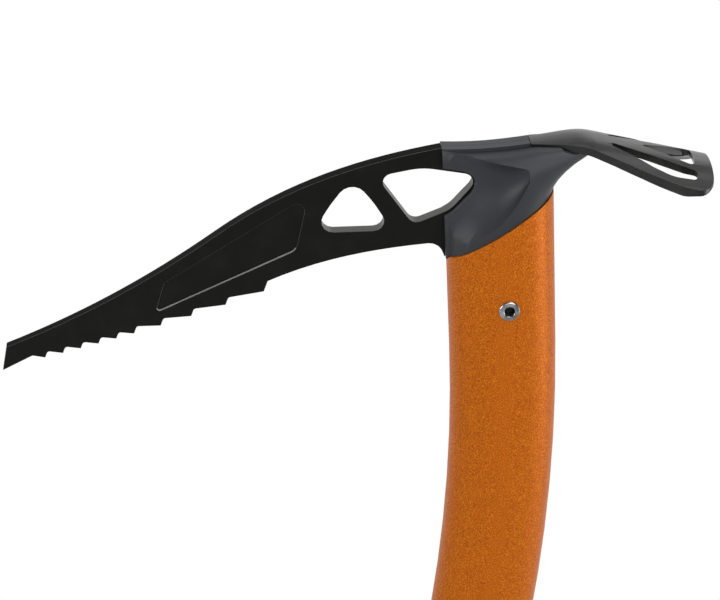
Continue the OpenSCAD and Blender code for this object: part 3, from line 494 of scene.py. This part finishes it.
@dataclass
class Softened:
    """Copy of a CAD node with its edges rounded, which stands for the node.

    Attributes:
        node: name of the CAD node.
        ride: body that carries it, or None for a piece that rides on no body.
        slot: name of the piece's material slot; not used.
        finish: material of its faces.
        edge_highlight_finish: material of the rounded edges, which paints a highlight on them, or
            None for the same one.
        width_mm: width of a rounded edge.
        steps: segments across a rounded edge.
        sharp_deg: angle between faces above which an edge is rounded.
        seam_mm: half width of the middle seam whose edges stay sharp.
    """

    node: str
    ride: Ride | None
    slot: str
    finish: Material
    edge_highlight_finish: Material | None = None
    width_mm: float = 0.3
    steps: int = 2
    sharp_deg: float = 32.0
    seam_mm: float = 0.0

    def build(self, source: Object) -> Object:
        """Copy the node, merge its triangles, round its edges and dress it.

        Args:
            source: the CAD node's object.

        Returns:
            The finished piece.
        """
        deselect()
        piece = bpy.data.objects.new(self.node + "_soft", source.data.copy())
        bpy.context.scene.collection.objects.link(piece)
        activate(piece)
        bpy.ops.object.mode_set(mode="EDIT")
        bpy.ops.mesh.select_all(action="SELECT")
        bpy.ops.mesh.remove_doubles(threshold=mm(MERGE_MM))
        bpy.ops.mesh.dissolve_limited(angle_limit=math.radians(FLAT_DEG))
        bpy.ops.object.mode_set(mode="OBJECT")
        self.dress(piece)
        if self.width_mm:
            self.mark_edges(piece)
            # Rounded edges take the edge finish where the piece has one: a painted highlight.
            layer = Layer.EDGES if self.edge_highlight_finish else Layer.NEIGHBOUR
            apply_modifier(piece, "BEVEL", width=mm(self.width_mm), segments=self.steps,
                           limit_method="WEIGHT", use_clamp_overlap=True, material=layer.value)
        self.touch_up(piece)
        self.shade(piece)
        if self.ride:
            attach(piece, self.ride.value)
        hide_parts(self.node)
        LOG.info("%s: %d faces", piece.name, len(piece.data.polygons))
        return piece

    def dress(self, piece: Object) -> None:
        """Give the piece its finishes: faces, then rounded edges.

        Args:
            piece: copy of the node, before its edges are rounded.
        """
        slots = piece.data.materials
        slots.clear()
        for finish in (self.finish, self.edge_highlight_finish or self.finish):
            slots.append(finish)
        for face in piece.data.polygons:
            face.material_index = Layer.FACES.value

    def weigh(self, edge: bmesh.types.BMEdge) -> float:
        """Share of the full width that a sharp edge is rounded by."""
        in_seam = all(abs(corner.co.y) < mm(self.seam_mm) for corner in edge.verts)
        return 0.0 if in_seam else 1.0

    def mark_edges(self, piece: Object) -> None:
        """Weigh the sharp edges for the bevel.

        Args:
            piece: copy of the node, before its edges are rounded.
        """
        mesh = bmesh.new()
        mesh.from_mesh(piece.data)
        weight = mesh.edges.layers.float.new("bevel_weight_edge")
        for edge in mesh.edges:
            if edge.calc_face_angle(0.0) > math.radians(self.sharp_deg):
                edge[weight] = self.weigh(edge)
        mesh.to_mesh(piece.data)
        mesh.free()

    def touch_up(self, piece: Object) -> None:
        """Finish single faces once the edges are rounded; a plain piece needs none of it."""

    def shade(self, piece: Object) -> None:
        """Shade shallow edges smooth, with large faces kept flat beside the rounded ones.

        Args:
            piece: the piece, with its edges rounded.
        """
        activate(piece)
        bpy.ops.object.shade_smooth_by_angle(angle=math.radians(SMOOTH_DEG))
        apply_modifier(piece, "WEIGHTED_NORMAL", mode="FACE_AREA", weight=PLAIN_AREA,
                       keep_sharp=True)


@dataclass
class PickPlate(Softened):
    """Toothed plate: black sides, painted shade on its upper edge face, painted light on its
    holes' walls and a painted highlight below its recess.

    Attributes:
        back_shade_finish: material of the plate's upper edge face, a darker copy of the coat that
            paints shade.
        wall_light_finish: material of the holes' walls, a lighter copy of the coat that paints
            light.
        line_highlight_finish: material of the recess's lower wall, a bright copy that paints a
            highlight.
        holes_mm: low and high corners, in X and Z, of the two clip holes.
        recess_mm: ends, in X and Z, of the recess's lower line.
        reach_mm: half width of the strip round that line.
        wall_tilt: share along Y that the normal of a hole's wall stays under.
        line_tilt: the same for the recess's lower wall, which slopes.
        back_tilt: the same for the upper edge face.
        back_rise: share along Z that the normal of the upper edge face exceeds.
    """

    back_shade_finish: Material | None = None
    wall_light_finish: Material | None = None
    line_highlight_finish: Material | None = None
    holes_mm: tuple[tuple[float, float, float, float], ...] = (
        (-80.3, 379.7, -60.7, 396.2), (-64.6, 387.1, -37.0, 405.9))
    recess_mm: tuple[Vector, Vector] = (Vector((-122.8, 345.7)), Vector((-85.8, 372.4)))
    reach_mm: float = 0.9
    wall_tilt: float = 0.5
    line_tilt: float = 0.97
    back_tilt: float = 0.1
    back_rise: float = 0.3

    def in_hole(self, place: Vector) -> bool:
        """Whether a place in X and Z, in millimetres, lies in a clip hole's box."""
        return any(x0 < place.x < x1 and z0 < place.y < z1 for x0, z0, x1, z1 in self.holes_mm)

    def on_line(self, place: Vector) -> bool:
        """Tell whether a place lies along the recess's lower line.

        Args:
            place: X and Z in millimetres.

        Returns:
            True within the strip round the line.
        """
        start, end = self.recess_mm
        run = end - start
        share = max(0.0, min(1.0, (place - start).dot(run) / run.length_squared))
        return (start + share * run - place).length < self.reach_mm

    def touch_up(self, piece: Object) -> None:
        """Paint light on the holes' walls, a highlight on the recess's lower wall, and shade on
        the upper edge face.

        Args:
            piece: the plate, with its edges rounded.
        """
        slots = piece.data.materials
        for finish in (self.wall_light_finish, self.line_highlight_finish, self.back_shade_finish):
            slots.append(finish)
        for face in piece.data.polygons:
            place = Vector((face.center.x, face.center.z)) * MM_PER_METRE
            tilt = abs(face.normal.y)
            # Painted light on the holes' walls, painted highlight on the recess's lower wall,
            # painted shade on the upper edge face.
            if tilt < self.wall_tilt and self.in_hole(place):
                face.material_index = Layer.WALLS.value
            elif tilt < self.line_tilt and self.on_line(place):
                face.material_index = Layer.LINE.value
            elif tilt < self.back_tilt and face.normal.z > self.back_rise:
                face.material_index = Layer.BACK.value


@dataclass
class AdzeBlade(Softened):
    """Arched blade: a well rounded outline, and crisper edges along its slots.

    Attributes:
        crisp: share of the full rounding that the slots' edges get.
        rim: share of the local half width beyond which an edge is part of the outline.
        end_mm: depth of the rounded front end.
        blade_mm: place in X where the blade starts.
        slab_mm: length, in X, of the slabs in which the half width is measured.
        halves: half width in each slab, in metres.
        tip: place in X of the front end, in metres.
    """

    crisp: float = 0.35
    rim: float = 0.93
    end_mm: float = 2.6
    blade_mm: float = 12.0
    slab_mm: float = 2.0
    halves: dict[int, float] = field(default_factory=dict, init=False)
    tip: float = field(default=0.0, init=False)

    def slab(self, x: float) -> int:
        """Number of the slab that a place in X lies in."""
        return round(x / mm(self.slab_mm))

    def mark_edges(self, piece: Object) -> None:
        """Measure the outline, then weigh the edges.

        Args:
            piece: copy of the blade, before its edges are rounded.
        """
        for corner in piece.data.vertices:
            slab = self.slab(corner.co.x)
            self.halves[slab] = max(self.halves.get(slab, 0.0), abs(corner.co.y))
        self.tip = max(corner.co.x for corner in piece.data.vertices)
        super().mark_edges(piece)

    def weigh(self, edge: bmesh.types.BMEdge) -> float:
        """Round the outline fully, and the slots and the stem less.

        Args:
            edge: a sharp edge of the blade.

        Returns:
            Share of the full width.
        """
        places = [corner.co for corner in edge.verts]
        on_blade = all(place.x > mm(self.blade_mm) for place in places)
        on_rim = all(abs(place.y) > self.rim * self.halves[self.slab(place.x)] for place in places)
        at_tip = all(place.x > self.tip - mm(self.end_mm) for place in places)
        return 1.0 if on_blade and (on_rim or at_tip) else self.crisp


@dataclass
class Head:
    """Pick, moulded shells, adze and what fastens them, on the shaft's upper end.

    Attributes:
        finishes: all finishes of the tool.
        pick_edge_mm: width of the plate's rounded edges.
        shell_edge_mm: width of the shells' rounded edges.
        seam_mm: half width of the shells' middle seam, whose edges stay sharp.
        adze_edge_mm: width of the blade's rounded outline.
        adze_steps: segments across that outline.
    """

    finishes: Finishes
    pick_edge_mm: float = 0.35
    shell_edge_mm: float = 0.3
    seam_mm: float = 0.4
    adze_edge_mm: float = 0.9
    adze_steps: int = 4

    def build(self, nodes: dict[str, Object]) -> None:
        """Build the head's pieces from their CAD nodes."""
        for piece in (self.pick(), *self.shells(), self.adze(), *self.fasteners()):
            piece.build(nodes[piece.node])

    def pick(self) -> PickPlate:
        """Toothed plate with its holes and recess."""
        return PickPlate(
            "pick", Ride.TOOL, "pick_steel", self.finishes.pick, self.finishes.pick_edge_highlight,
            width_mm=self.pick_edge_mm, back_shade_finish=self.finishes.pick_back_shade,
            wall_light_finish=self.finishes.pick_hole_wall_light, line_highlight_finish=self.finishes.pick_line_highlight)

    def shells(self) -> list[Softened]:
        """Two moulded halves that close on a tight seam."""
        return [Softened(node, Ride.TOOL, "head_nylon", self.finishes.head,
                         width_mm=self.shell_edge_mm, seam_mm=self.seam_mm)
                for node in ("head_shell_left", "head_shell_right")]

    def adze(self) -> AdzeBlade:
        """Arched slotted blade."""
        return AdzeBlade("adze", Ride.TOOL, "adze_steel", self.finishes.adze,
                         width_mm=self.adze_edge_mm, steps=self.adze_steps)

    def fasteners(self) -> list[Softened]:
        """Dowels between the shells, and the tubular rivet with its core."""
        return [
            Softened("head_dowels", Ride.TOOL, "bright_steel", self.finishes.steel),
            Softened("head_rivet", Ride.TOOL, "rivet_alloy", self.finishes.rivet,
                     width_mm=ROUND_IN_CAD),
            Softened("head_rivet_core", Ride.TOOL, "dark_steel", self.finishes.dark_steel)]


@dataclass
class Handle:
    """Curved tube with its plugged and pierced foot.

    Attributes:
        finishes: all finishes of the tool.
        rim_mm: width of the tube's rounded rims.
        plug_edge_mm: width of the plug's rounded edges.
    """

    finishes: Finishes
    rim_mm: float = 0.45
    plug_edge_mm: float = 0.4

    def build(self, nodes: dict[str, Object]) -> None:
        """Build the tube and the foot's pieces from their CAD nodes."""
        for piece in (self.tube(), *self.foot()):
            piece.build(nodes[piece.node])

    def tube(self) -> Softened:
        """Anodised tube with a painted highlight on its cut rims."""
        return Softened("shaft", Ride.TOOL, "shaft_alloy", self.finishes.shaft,
                        self.finishes.shaft_rim_highlight, width_mm=self.rim_mm)

    def foot(self) -> list[Softened]:
        """Plug, lining of the leash hole, and the rivet with its core."""
        return [
            Softened("foot_plug", Ride.TOOL, "rest_nylon", self.finishes.rest,
                     width_mm=self.plug_edge_mm),
            Softened("leash_eyelet", Ride.TOOL, "rivet_alloy", self.finishes.rivet),
            Softened("foot_rivet", Ride.TOOL, "rivet_alloy", self.finishes.rivet,
                     width_mm=ROUND_IN_CAD),
            Softened("foot_rivet_core", Ride.TOOL, "dark_steel", self.finishes.dark_steel)]


@dataclass
class HandRest:
    """Sliding rest with its finger hook, bearing and sprung lock lever.

    Attributes:
        finishes: all finishes of the tool.
        body_edge_mm: width of the hooked body's rounded edges.
        liner_edge_mm: the same of the bearing.
        lever_edge_mm: the same of the lever.
        pin_edge_mm: the same of the pin.
        clip_edge_mm: the same of the pin's clips.
        pad_edge_mm: the same of the brake pad.
        leaf_edge_mm: the same of the leaf spring.
        round_steps: segments across the rounded edges of body and lever.
        still_share: share of the leaf, from its foot, that stays with the collar; not used.
    """

    finishes: Finishes
    body_edge_mm: float = 0.8
    liner_edge_mm: float = 0.2
    lever_edge_mm: float = 0.5
    pin_edge_mm: float = 0.25
    clip_edge_mm: float = 0.1
    pad_edge_mm: float = 0.4
    leaf_edge_mm: float = 0.1
    round_steps: int = 3
    still_share: float = 0.3

    def build(self, nodes: dict[str, Object]) -> None:
        """Build the rest's and the lever's pieces.

        Args:
            nodes: the CAD nodes' objects, by name.
        """
        for piece in (*self.collar(), *self.lever()):
            piece.build(nodes[piece.node])
        self.spring(nodes)

    def collar(self) -> list[Softened]:
        """Hooked body, its bearing and the rubber in the finger seat."""
        return [
            Softened("rest_body", Ride.HAND_REST, "rest_nylon", self.finishes.rest,
                     width_mm=self.body_edge_mm, steps=self.round_steps),
            Softened("rest_liner", Ride.HAND_REST, "liner_acetal", self.finishes.liner,
                     width_mm=self.liner_edge_mm),
            Softened("hook_rubber_pad", Ride.HAND_REST, "rubber", self.finishes.rubber)]

    def lever(self) -> list[Softened]:
        """Lever, its pin with two clips, and the brake pad."""
        return [
            Softened("lock_lever", Ride.LEVER, "lever_alloy", self.finishes.lever,
                     width_mm=self.lever_edge_mm, steps=self.round_steps),
            Softened("lever_pin", Ride.HAND_REST, "bright_steel", self.finishes.steel,
                     width_mm=self.pin_edge_mm),
            Softened("pin_clips", Ride.HAND_REST, "dark_steel", self.finishes.dark_steel,
                     width_mm=self.clip_edge_mm),
            Softened("brake_pad", Ride.LEVER, "rubber", self.finishes.rubber,
                     width_mm=self.pad_edge_mm)]

    def spring(self, nodes: dict[str, Object]) -> None:
        """Leaf spring, baked in place and tied to no body.

        Args:
            nodes: the CAD nodes' objects, by name.
        """
        leaf = Softened("lever_spring", None, "bright_steel", self.finishes.steel,
                        width_mm=self.leaf_edge_mm)
        piece = leaf.build(nodes[leaf.node])
        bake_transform(piece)


@dataclass
class Camera:
    """Camera at the photograph's place, in the tool's frame.

    Attributes:
        eye_mm: place of the lens.
        right: direction to the right of the picture.
        up: direction to the top of the picture.
        back: direction away from the tool.
        lens_mm: focal length.
        sensor_mm: width of the sensor.
        near_mm: distance from which things are seen.
    """

    eye_mm: Vector = Vector((-182.63, -677.17, 691.83))
    right: Vector = Vector((0.977641, -0.076397, 0.195909))
    up: Vector = Vector((-0.140166, 0.457745, 0.877965))
    back: Vector = Vector((-0.156751, -0.885795, 0.436802))
    lens_mm: float = 124.74
    sensor_mm: float = 36.0
    near_mm: float = 10.0

    def build(self) -> None:
        """Place the camera and make it the scene's own."""
        data = bpy.data.cameras.new("photo_camera")
        data.lens = self.lens_mm
        data.sensor_width = self.sensor_mm
        data.clip_start = mm(self.near_mm)
        camera = bpy.data.objects.new("photo_camera", data)
        bpy.context.scene.collection.objects.link(camera)
        matrix = camera.matrix_world.copy()
        for column, axis in enumerate((self.right, self.up, self.back)):
            matrix.col[column] = (*axis, 0.0)
        matrix.col[3] = (*(self.eye_mm / MM_PER_METRE), 1.0)
        camera.matrix_world = matrix
        bpy.context.scene.camera = camera


@dataclass
class Lamp:
    """Softbox that faces the head.

    Attributes:
        name: name of the lamp.
        place: its place, in metres.
        size: its width and height, in metres.
        watts: its power.
    """

    name: str
    place: tuple[float, float, float]
    size: tuple[float, float]
    watts: float


@dataclass
class Studio:
    """Pale floor, white backdrop and soft lamps.

    Attributes:
        floor_half: half the floor's width, in metres.
        floor_gap_mm: gap between the foot and the floor.
        floor_colour: colour of the floor near the tool, as sRGB hex.
        white_reach: distances from the tool, in metres, over which the floor turns white.
        floor_behind: places in Y, in metres, over which the tool starts to mirror the floor.
        room_behind: share along Y of a direction over which it starts to mirror the backdrop.
        room_low: share along Z of a direction over which that mirror image starts, from above.
        fill: strength of the room's light on dull surfaces.
        dim: strength of the room that shiny surfaces mirror above and in front of the tool.
        aim: place that the lamps face, in metres.
        lamps: the softboxes.
    """

    floor_half: float = 4.0
    floor_gap_mm: float = 0.5
    floor_colour: str = "#dddddd"
    white_reach: tuple[float, float] = (0.16, 0.34)
    floor_behind: tuple[float, float] = (-0.1, 0.3)
    room_behind: tuple[float, float] = (-0.1, 0.4)
    room_low: tuple[float, float] = (0.95, 0.5)
    fill: float = 0.05
    dim: float = 0.08
    aim: Vector = Vector((-0.03, 0.0, 0.37))
    # The key and the top one light the flanks and the ridge, the left one the scoop, the front one
    # the plate's side, the right one the tube's edge, and the back one the blade's crown.
    lamps: tuple[Lamp, ...] = (
        Lamp("key_softbox", (0.25, -0.7, 1.28), (0.7, 0.6), 5.2),
        Lamp("left_softbox", (-1.0, -0.5, 0.36), (1.0, 0.5), 5.0),
        Lamp("front_softbox", (0.1, -1.05, 0.6), (0.8, 0.5), 3.5),
        Lamp("top_softbox", (0.0, 0.15, 1.4), (0.9, 0.7), 3.5),
        Lamp("back_softbox", (0.55, 1.0, 1.1), (0.8, 0.5), 0.9),
        Lamp("right_softbox", (1.0, -0.4, 0.3), (0.6, 0.6), 4.0),
    )

    def build(self) -> None:
        """Make the floor, the world and the lamps."""
        self.build_floor()
        self.build_world()
        for lamp in self.lamps:
            self.build_lamp(lamp)
        bpy.context.scene.view_settings.view_transform = "Standard"

    def seen(self, tree: NodeTree, place: NodeSocket) -> NodeSocket:
        """One for camera rays, and behind the tool for glossy and transmission rays too.

        Args:
            tree: the floor's node tree.
            place: coordinates on the floor.

        Returns:
            The socket that holds that share.
        """
        path = add_node(tree, "ShaderNodeLightPath").outputs
        mirrored = add_node(tree, "ShaderNodeMath", {"operation": "MAXIMUM"},
                            {0: path["Is Glossy Ray"], 1: path["Is Transmission Ray"]})
        depth = add_node(tree, "ShaderNodeSeparateXYZ", inputs={0: place}).outputs["Y"]
        behind = add_node(tree, "ShaderNodeMapRange", {"interpolation_type": "SMOOTHSTEP"}, {
            "Value": depth, "From Min": self.floor_behind[0], "From Max": self.floor_behind[1],
            "To Max": mirrored.outputs[0]})
        every = add_node(tree, "ShaderNodeMath", {"operation": "MAXIMUM"},
                         {0: path["Is Camera Ray"], 1: behind.outputs["Result"]})
        return every.outputs[0]

    def build_floor(self) -> None:
        """Pale floor under the foot, which turns to plain white away from the tool."""
        low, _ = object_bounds()
        deselect()
        bpy.ops.mesh.primitive_plane_add(
            size=2 * self.floor_half, location=(0, 0, low[2] - mm(self.floor_gap_mm)))
        floor = bpy.context.object
        floor.name = "floor"
        # Plain painted board: it keeps the tool's shadow near the foot and is white further out.
        material = bpy.data.materials.new("pale_floor")
        material.use_nodes = True
        tree = material.node_tree
        tree.nodes.clear()
        place = add_node(tree, "ShaderNodeTexCoord").outputs["Object"]
        reach = add_node(tree, "ShaderNodeVectorMath", {"operation": "LENGTH"}, {0: place})
        far = add_node(tree, "ShaderNodeMapRange", {"interpolation_type": "SMOOTHSTEP"}, {
            "Value": reach.outputs["Value"],
            "From Min": self.white_reach[0], "From Max": self.white_reach[1]})
        share = add_node(tree, "ShaderNodeMath", {"operation": "MULTIPLY"},
                         {0: far.outputs["Result"], 1: self.seen(tree, place)})
        pale = add_node(tree, "ShaderNodeBsdfDiffuse", inputs={"Color": linear(self.floor_colour)})
        white = add_node(tree, "ShaderNodeEmission", inputs={
            "Color": linear(WHITE), "Strength": 1.0})
        both = add_node(tree, "ShaderNodeMixShader", inputs={
            "Fac": share.outputs[0], 1: pale.outputs[0], 2: white.outputs[0]})
        add_node(tree, "ShaderNodeOutputMaterial", inputs={"Surface": both.outputs[0]})
        floor.data.materials.append(material)
        floor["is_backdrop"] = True

    def build_world(self) -> None:
        """White backdrop, mirrored low behind the tool, and a dim room above and in front."""
        world = bpy.data.worlds.new("studio")
        bpy.context.scene.world = world
        world.use_nodes = True
        tree = world.node_tree
        tree.nodes.clear()
        path = add_node(tree, "ShaderNodeLightPath").outputs
        way = add_node(tree, "ShaderNodeTexCoord").outputs["Generated"]
        axes = add_node(tree, "ShaderNodeSeparateXYZ", inputs={0: way}).outputs
        behind = add_node(tree, "ShaderNodeMapRange", {"interpolation_type": "SMOOTHSTEP"}, {
            "Value": axes["Y"], "From Min": self.room_behind[0], "From Max": self.room_behind[1]})
        low = add_node(tree, "ShaderNodeMapRange", {"interpolation_type": "SMOOTHSTEP"}, {
            "Value": axes["Z"], "From Min": self.room_low[0], "From Max": self.room_low[1]})
        both = add_node(tree, "ShaderNodeMath", {"operation": "MULTIPLY"},
                        {0: behind.outputs["Result"], 1: low.outputs["Result"]})
        room = add_node(tree, "ShaderNodeMapRange", inputs={
            "Value": both.outputs[0], "To Min": self.dim, "To Max": 1.0})
        mirrored = add_node(tree, "ShaderNodeMath", {"operation": "MAXIMUM"},
                            {0: path["Is Glossy Ray"], 1: path["Is Transmission Ray"]})
        soft = add_node(tree, "ShaderNodeMix", {"data_type": "FLOAT"},
                        {"Factor": mirrored.outputs[0], "A": self.fill,
                         "B": room.outputs["Result"]})
        level = add_node(tree, "ShaderNodeMix", {"data_type": "FLOAT"},
                         {"Factor": path["Is Camera Ray"], "A": soft.outputs[0], "B": 1.0})
        light = add_node(tree, "ShaderNodeBackground", inputs={
            "Color": linear(WHITE), "Strength": level.outputs[0]})
        add_node(tree, "ShaderNodeOutputWorld", inputs={"Surface": light.outputs[0]})

    def build_lamp(self, lamp: Lamp) -> None:
        """Area lamp that faces the head.

        Args:
            lamp: the softbox to make.
        """
        data = bpy.data.lights.new(lamp.name, "AREA")
        data.shape = "RECTANGLE"
        data.size, data.size_y = lamp.size
        data.energy = lamp.watts
        light = bpy.data.objects.new(lamp.name, data)
        bpy.context.scene.collection.objects.link(light)
        light.location = lamp.place
        way = self.aim - Vector(lamp.place)
        light.rotation_euler = way.to_track_quat("-Z", "Y").to_euler()


def main() -> None:
    """Build every piece in order and report it."""
    logging.basicConfig(level=logging.INFO, format="%(name)s: %(message)s")
    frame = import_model()
    Camera().build()
    finishes = Finishes()
    for part in (Head(finishes), Handle(finishes), HandRest(finishes)):
        part.build(frame["nodes"])
        LOG.info("%s is dressed", type(part).__name__)
    Studio().build()
    deselect()


if __name__ == "__main__":
    main()
